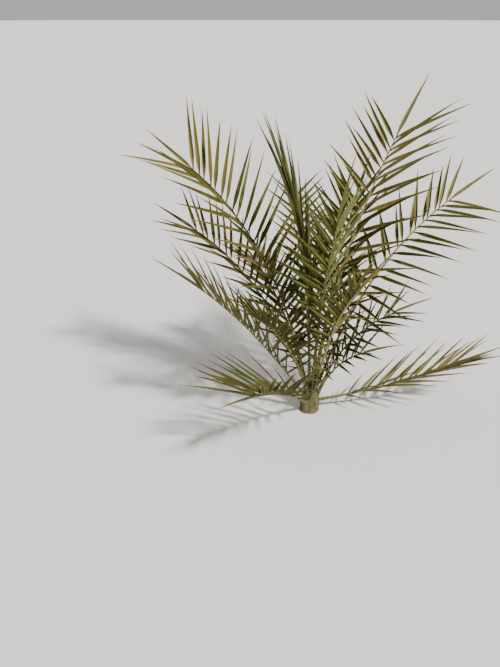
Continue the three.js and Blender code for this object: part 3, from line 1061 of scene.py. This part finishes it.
class PALM_OT_stump(bpy.types.Operator):
    """Stump with the overlapping remains of old leaf bases, rough with fibre"""

    bl_idname = "palm.stump"
    bl_label = "Stump"

    def execute(self, context):
        # Heights go up as a sine of the ring's share. A ledge juts out at its foot and falls back
        # evenly, and narrows to its sides as a power of a sine of the turn; every other column of
        # ledges is set off by half a step. A rib is a product of two sines
        turn = circle(STUMP_CORNERS)[None, :]
        share = np.linspace(0, 1, STUMP_RINGS)[:, None]
        z = STUMP_HEIGHT * np.sin(np.pi / 2 * share) * np.ones_like(turn)
        row = z / LEDGE_HEIGHT + 0.5 * np.floor(turn * LEDGE_PAIRS / np.pi) % 1
        ledge = (1 - row % 1) * np.abs(np.sin(turn * LEDGE_PAIRS)) ** LEDGE_ROUNDNESS
        ribs = np.sin(turn * RIBS + RIB_SLANT * z / LEDGE_HEIGHT) * np.sin(turn * RIB_GROUPS)
        relief = LEDGE_DEPTH * (ledge - 1) + RIB_HEIGHT * ribs
        points = on_stump(turn, z, relief * (1 - share ** RELIEF_ENDS))
        finish = fibre_finish("bark", context.scene.palm_colours.fibre)
        piece = tube_piece("stump", points[None], turn / (2 * np.pi), z[None], finish, crease=50)
        seat_piece(piece, ["trunk"])
        return {"FINISHED"}


def old_wave(t, turn, size, along, around):
    """Wave of an old base: a sine of its share t and of its angle round the stump."""
    return size * np.sin(along * t + around * turn)


class PALM_OT_scales(bpy.types.Operator):
    """Dry pointed remains of old leaf bases round the stump's foot"""

    bl_idname = "palm.scales"
    bl_label = "Old bases"

    def execute(self, context):
        # A base's half width falls as one less a power of the share t, its edges wave and the whole
        # swerves; it leans out with the square of t; and it is a ridge outside, flat inside
        seed = np.arange(context.scene.palm_sizes.scales)[:, None, None]
        t = np.linspace(0, 1, OLD_STATIONS)[None, :, None]
        section = circle(OLD_CORNERS)
        tall = dealt(OLD_TALL, seed + OLD_SEED["tall"], power=1.5)
        wide = dealt(OLD_WIDE, seed + OLD_SEED["wide"])
        lean = dealt(OLD_LEAN, seed + OLD_SEED["lean"], power=2)
        start = dealt(OLD_OUT, seed + OLD_SEED["out"])
        stray = OLD_STRAY * wander(seed + OLD_SEED["turn"])
        turn = 2 * np.pi * (seed + stray) / len(seed)
        half = wide / 2 * (1 - t ** OLD_TAPER) + OLD_TIP
        wavy = 1 + old_wave(t, turn, *OLD_WAVE)
        swerve = old_wave(t, turn, *OLD_SWERVE)
        angle = turn + swerve + half * wavy * np.sin(section) / STUMP_RADIUS
        thick = OLD_THICKNESS * lerp(*OLD_THINNING, t)
        ridge = OLD_RIDGE * np.maximum(np.cos(section), 0) - OLD_BACK
        out = start + lean * t ** 2 + thick * ridge
        points = on_stump(angle, OLD_FOOT + tall * t + 0 * angle, out)
        finish = fibre_finish("old_base", shade(context.scene.palm_colours.fibre, OLD_SHADE))
        metres = np.broadcast_to(tall * t, angle.shape)
        piece = tube_piece("old_bases", points, section / (2 * np.pi), metres, finish, crease=50)
        seat_piece(piece, ["trunk"])
        return {"FINISHED"}


class PALM_OT_fibre(bpy.types.Operator):
    """Crossing strands of brown fibre round the stump and between the bases"""

    bl_idname = "palm.fibre"
    bl_label = "Fibre"

    def execute(self, context):
        # A strand climbs and goes round the stump evenly, strays with the square of the share t,
        # and comes away from the stump with its cube
        seed = np.arange(context.scene.palm_sizes.fibres)[:, None]
        t = np.linspace(0, 1, STRAND_RINGS)[None, :]
        low = dealt(STRAND_LOW, seed + STRAND_SEED["low"], power=1.2)
        rise = dealt(STRAND_RISE, seed + STRAND_SEED["rise"])
        z = np.minimum(low + rise * t, STUMP_HEIGHT - STRAND_GAP)
        slant = np.where(seed % 2, 1, -1) * dealt(STRAND_SLANT, seed + STRAND_SEED["slant"])
        stray = STRAND_STRAY * wander(seed + STRAND_SEED["stray"])
        start = 2 * np.pi * chance(seed + STRAND_SEED["turn"])
        angle = start + slant * t + stray * t ** 2
        loose = dealt(STRAND_LOOSE, seed + STRAND_SEED["loose"], power=3)
        out = dealt(STRAND_OUT, seed + STRAND_SEED["out"]) + loose * t ** 3
        centres = on_stump(angle, z, out)
        beside = np.stack([np.cos(angle), np.sin(angle), 0 * angle], -1)
        radii = STRAND_RADIUS * lerp(1, STRAND_TIP, t) * np.ones_like(z)
        finish = fibre_finish("fibre", shade(context.scene.palm_colours.fibre, STRAND_SHADE))
        piece = rod_piece(
            "fibre", centres, radii, beside, STRAND_CORNERS, z[..., None], finish, crease=80)
        seat_piece(piece, ["trunk"])
        return {"FINISHED"}


# Spear

# Grid, radius at places along it as shares of the fullest one, and pleats with their depth and how
# far they turn on the way up, in half turns
SPEAR_RINGS = 44
SPEAR_CORNERS = 30
SPEAR_PLACES = [0, 0.25, 0.7, 0.97, 1]
SPEAR_SWELL = [0.8, 1, 0.8, 0.16, 0.02]
SPEAR_PLEATS = 5
SPEAR_PLEAT_DEPTH = 0.2
SPEAR_TWIST = 1.1


class PALM_OT_spear(bpy.types.Operator):
    """Closed youngest leaf, pleated and slightly twisted"""

    bl_idname = "palm.spear"
    bl_label = "Spear"

    def execute(self, context):
        # The radius is the swell at that share, less pleats: a sine of the turn without its sign,
        # moved on evenly on the way up
        share = np.linspace(0, 1, SPEAR_RINGS)[:, None]
        turn = circle(SPEAR_CORNERS)[None, :]
        z = lerp(STUMP_HEIGHT - SPEAR_SINK, SPEAR_TOP, share) * np.ones_like(turn)
        fold = np.abs(np.sin(SPEAR_PLEATS * turn / 2 + SPEAR_TWIST * share * np.pi))
        swell = np.interp(share, SPEAR_PLACES, SPEAR_SWELL)
        radius = SPEAR_RADIUS * swell * (1 - SPEAR_PLEAT_DEPTH * fold)
        points = np.stack([radius * np.cos(turn) + LEAN_SLOPE * z, radius * np.sin(turn), z], -1)
        finish = leaf_finish("young_leaf", context.scene.palm_colours.stalk_foot)
        piece = tube_piece(
            "spear_leaf", points[None], turn / (2 * np.pi), z[None], finish, crease=40)
        seat_piece(piece, ["spear"])
        return {"FINISHED"}


# Stage

FLOOR_RADIUS = 150
FLOOR_CORNERS = 96
SKY_COLOUR = (0.97, 0.98, 1, 1)
SKY_STRENGTH = 0.5

# Lights: where each stands as seen from the palm, how soft it is in degrees, and its strength
LIGHTS = (
    ("key_light", (1.9, -1.8, 2.9), 5, 5.6),
    ("fill_light", (-2.4, 0.8, 1.8), 40, 0.4),
)


class PALM_OT_stage(bpy.types.Operator):
    """Pale floor, soft studio lights and the photograph's camera"""

    bl_idname = "palm.stage"
    bl_label = "Stage"

    def execute(self, context):
        scene = context.scene
        turn = circle(FLOOR_CORNERS)
        rim = np.stack([FLOOR_RADIUS * np.cos(turn), FLOOR_RADIUS * np.sin(turn), 0 * turn], -1)
        mesh = bpy.data.meshes.new("floor")
        mesh.from_pydata(rim.tolist(), [], [list(range(len(rim)))])
        mesh.materials.append(floor_finish("floor", scene.palm_colours.floor))
        floor = bpy.data.objects.new("floor", mesh)
        scene.collection.objects.link(floor)

        for name, place, softness, strength in LIGHTS:
            light = bpy.data.lights.new(name, "SUN")
            light.angle = np.radians(softness)
            light.energy = strength
            lamp = bpy.data.objects.new(name, light)
            lamp.location = place
            lamp.rotation_euler = (-Vector(place)).to_track_quat("-Z", "Y").to_euler()
            scene.collection.objects.link(lamp)

        world = bpy.data.worlds.new("studio")
        world.use_nodes = True
        background = world.node_tree.nodes["Background"]
        background.inputs["Color"].default_value = SKY_COLOUR
        background.inputs["Strength"].default_value = SKY_STRENGTH
        scene.world = world

        lens = bpy.data.cameras.new("photo_camera")
        lens.sensor_width = SENSOR_WIDTH
        lens.lens = SENSOR_WIDTH * FOCAL_PIXELS / FRAME_PIXELS
        camera = bpy.data.objects.new("photo_camera", lens)
        camera.location = CAMERA_PLACE
        camera.rotation_euler = (np.radians(90 - CAMERA_DOWN), 0, 0)
        scene.collection.objects.link(camera)
        scene.camera = camera
        return {"FINISHED"}


# Add-on

PIECES = (
    PALM_OT_stage, PALM_OT_stump, PALM_OT_scales, PALM_OT_fibre, PALM_OT_stalks, PALM_OT_spines,
    PALM_OT_swellings, PALM_OT_leaflets, PALM_OT_spear,
)


class PALM_PT_panel(bpy.types.Panel):
    """Panel in the sidebar with the palm's sizes, colours and pieces"""

    bl_idname = "PALM_PT_panel"
    bl_label = "Young Date Palm"
    bl_space_type = "VIEW_3D"
    bl_region_type = "UI"
    bl_category = "Palm"

    def draw(self, context):
        for group in (context.scene.palm_sizes, context.scene.palm_colours):
            for name in group.__annotations__:
                self.layout.prop(group, name)
        for piece in PIECES:
            self.layout.operator(piece.bl_idname)


CLASSES = (PalmSizes, PalmColours, *PIECES, PALM_PT_panel)


def register():
    for each in CLASSES:
        bpy.utils.register_class(each)
    bpy.types.Scene.palm_sizes = PointerProperty(type=PalmSizes)
    bpy.types.Scene.palm_colours = PointerProperty(type=PalmColours)


def unregister():
    del bpy.types.Scene.palm_colours
    del bpy.types.Scene.palm_sizes
    for each in reversed(CLASSES):
        bpy.utils.unregister_class(each)


def main():
    """Makes every piece."""
    register()
    bpy.ops.palm.stage()
    bpy.ops.palm.stump()
    bpy.ops.palm.scales()
    bpy.ops.palm.fibre()
    bpy.ops.palm.stalks()
    bpy.ops.palm.spines()
    bpy.ops.palm.swellings()
    bpy.ops.palm.leaflets()
    bpy.ops.palm.spear()


if __name__ == "__main__":
    main()
